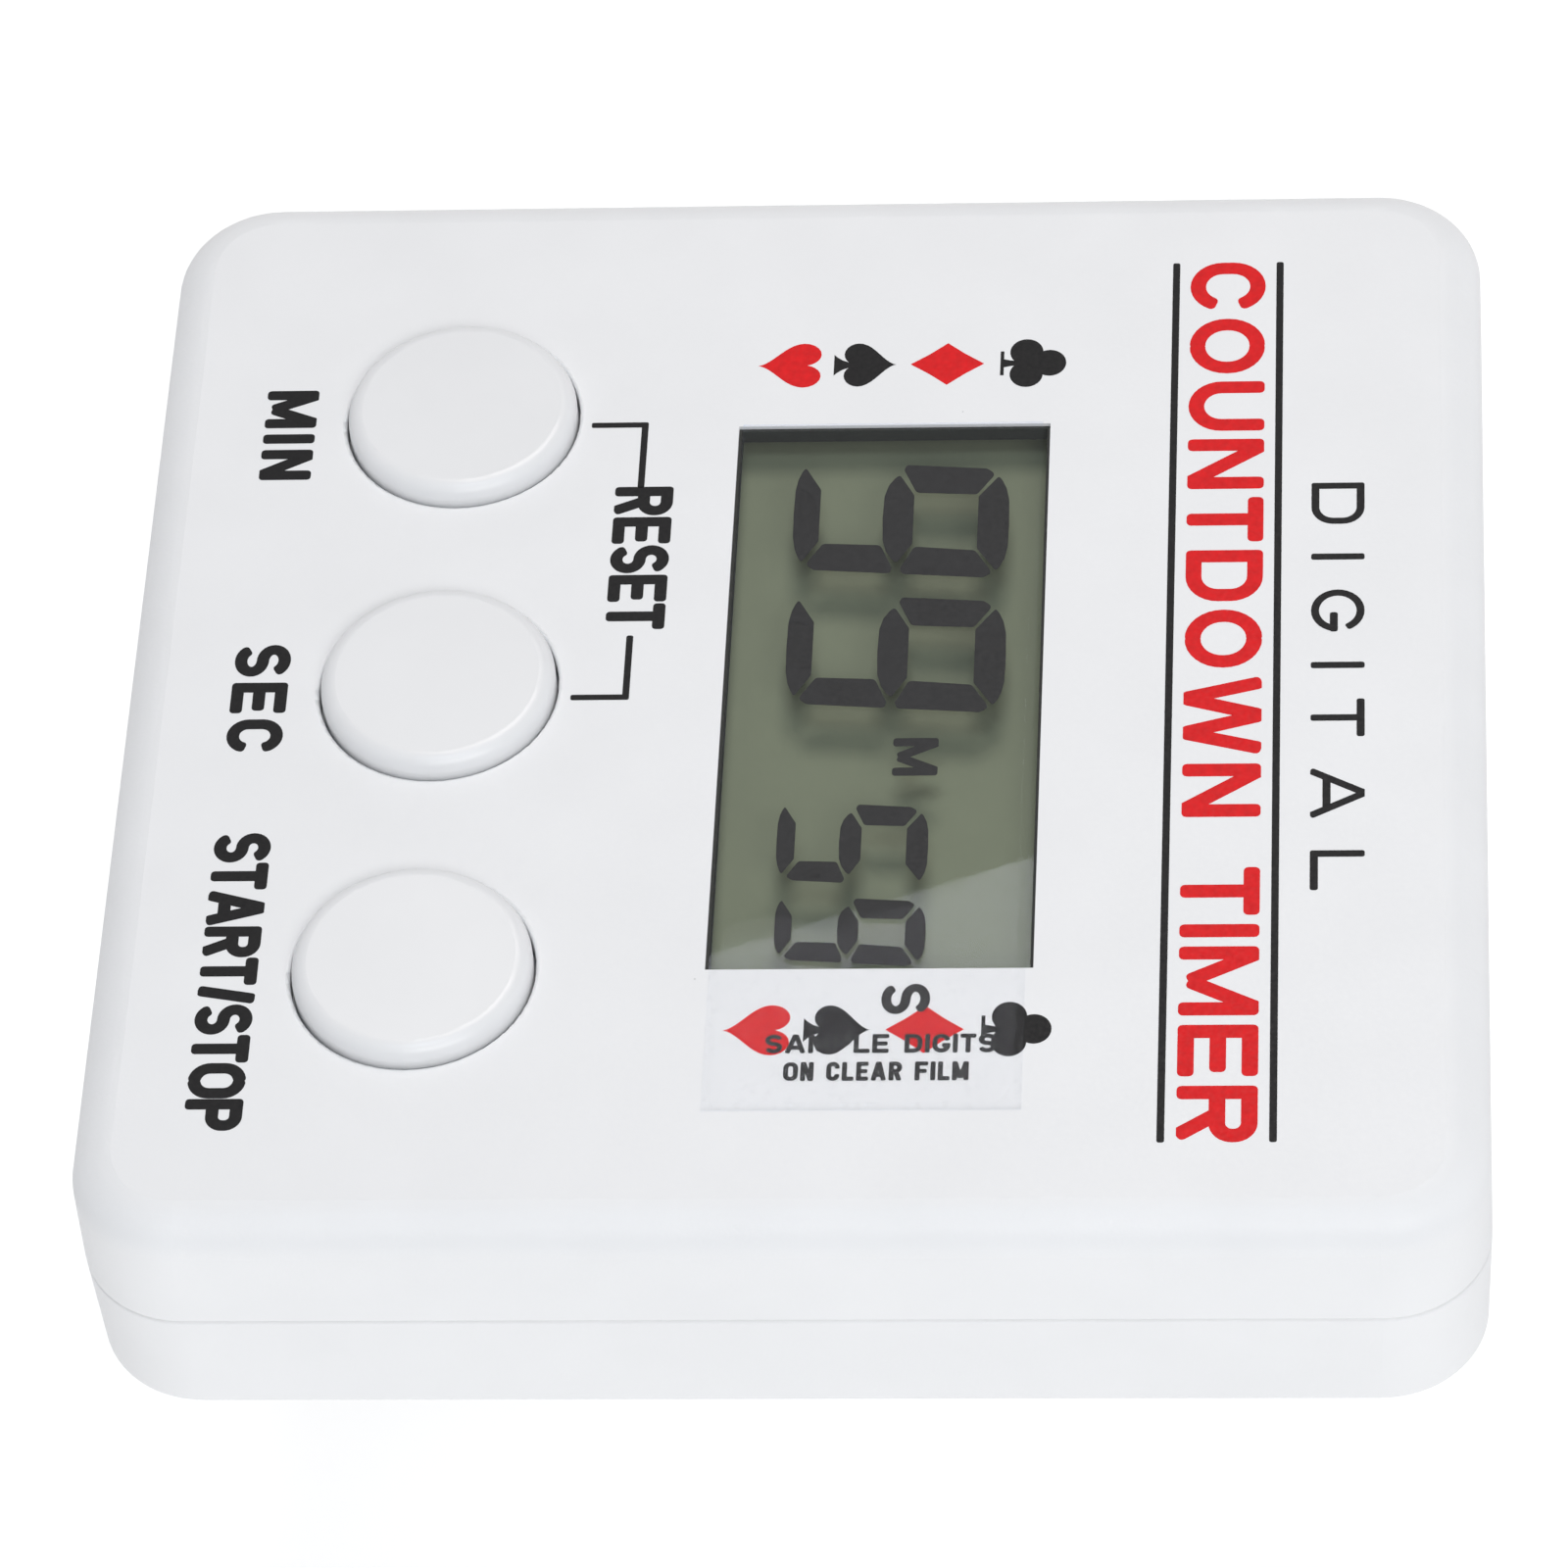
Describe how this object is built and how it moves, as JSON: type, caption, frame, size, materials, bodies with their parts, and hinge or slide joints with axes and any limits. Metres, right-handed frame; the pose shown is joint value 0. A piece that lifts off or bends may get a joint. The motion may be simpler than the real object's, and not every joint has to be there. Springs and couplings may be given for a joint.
{
  "type": "countdown timer",
  "caption": "Small square digital countdown timer with a display window, round push buttons, a fold-out stand and magnets in its back.",
  "frame": {"origin": "middle of the back face, on the surface that the timer lies on", "axes": "+Z out of the face, +X the way the face reads, +Y the top of the face"},
  "size_m": [0.065, 0.065, 0.0144],
  "materials": {
    "white_case": "fine spark-eroded texture",
    "white_button": "smooth satin gloss",
    "clear_lens": "polished clear plastic",
    "gasket": "matt dark rubber",
    "clear_film": "thin clear film with dark print",
    "polariser": "grey-green polarising film",
    "lcd_glass": "clear",
    "reflector": "satin silver-grey",
    "foam": "fine closed cell foam",
    "zebra_rubber": "striped conductive rubber",
    "board": "green solder mask",
    "black_resin": "glossy epoxy",
    "tin": "plated can",
    "ferrite": "dull sintered grey",
    "copper_wire": "enamelled copper",
    "capacitor_tan": "ceramic",
    "resistor_black": "thick film",
    "silicone": "translucent grey silicone",
    "carbon": "matt carbon rubber",
    "steel": "zinc-plated",
    "brass_plate": "rolled brass",
    "piezo_ceramic": "silvered ceramic",
    "lead_red": "insulated wire",
    "lead_black": "insulated wire",
    "cell_steel": "nickel-plated",
    "ink_black": "pad-printed ink",
    "ink_red": "pad-printed ink"
  },
  "bodies": {
    "case": {"front_case": "white_case", "back_case": "white_case", "window_lens": "clear_lens", "lens_gasket": "gasket", "protective_film": "clear_film", "lcd_front_polariser": "polariser", "lcd_front_glass": "lcd_glass", "lcd_rear_glass": "lcd_glass", "lcd_reflector": "reflector", "lcd_foam_pad": "foam", "zebra_strip": "zebra_rubber", "circuit_board": "board", "chip_blob": "black_resin", "quartz_crystal": "tin", "inductor_core": "ferrite", "inductor_winding": "copper_wire", "drive_transistor": "black_resin", "chip_capacitors": "capacitor_tan", "chip_resistors": "resistor_black", "rubber_keypad": "silicone", "board_screws": "steel", "case_screws": "steel", "buzzer_plate": "brass_plate", "buzzer_ceramic": "piezo_ceramic", "buzzer_lead_red": "lead_red", "buzzer_lead_black": "lead_black", "button_cell": "cell_steel", "battery_positive_contact": "steel", "battery_negative_contact": "steel", "magnet_left": "ferrite", "magnet_right": "ferrite"},
    "min_button": {"min_button": "white_button", "carbon_pill_min": "carbon"},
    "sec_button": {"sec_button": "white_button", "carbon_pill_sec": "carbon"},
    "start_stop_button": {"start_stop_button": "white_button", "carbon_pill_start_stop": "carbon"},
    "stand": {"stand": "white_case"},
    "battery_door": {"battery_door": "white_case"}
  },
  "joints": [
    {"name": "min_button_press", "type": "slide", "parent": "case", "child": "min_button", "axis": [0, 0, -1], "range_m": [0, 0.0008], "stiffness_N_per_m": 800, "springref_m": -0.0002, "deforming": ["rubber_keypad"]},
    {"name": "sec_button_press", "type": "slide", "parent": "case", "child": "sec_button", "axis": [0, 0, -1], "range_m": [0, 0.0008], "stiffness_N_per_m": 800, "springref_m": -0.0002, "deforming": ["rubber_keypad"]},
    {"name": "start_stop_button_press", "type": "slide", "parent": "case", "child": "start_stop_button", "axis": [0, 0, -1], "range_m": [0, 0.0008], "stiffness_N_per_m": 800, "springref_m": -0.0002, "deforming": ["rubber_keypad"]},
    {"name": "stand_fold", "type": "hinge", "parent": "case", "child": "stand", "pos_m": [0, 0.014, 0.00165], "axis": [1, 0, 0], "range_deg": [0, 95]},
    {"name": "battery_door_turn", "type": "hinge", "parent": "case", "child": "battery_door", "pos_m": [-0.0213, 0.00215, 0], "axis": [0, 0, 1], "range_deg": [0, 45]}
  ]
}
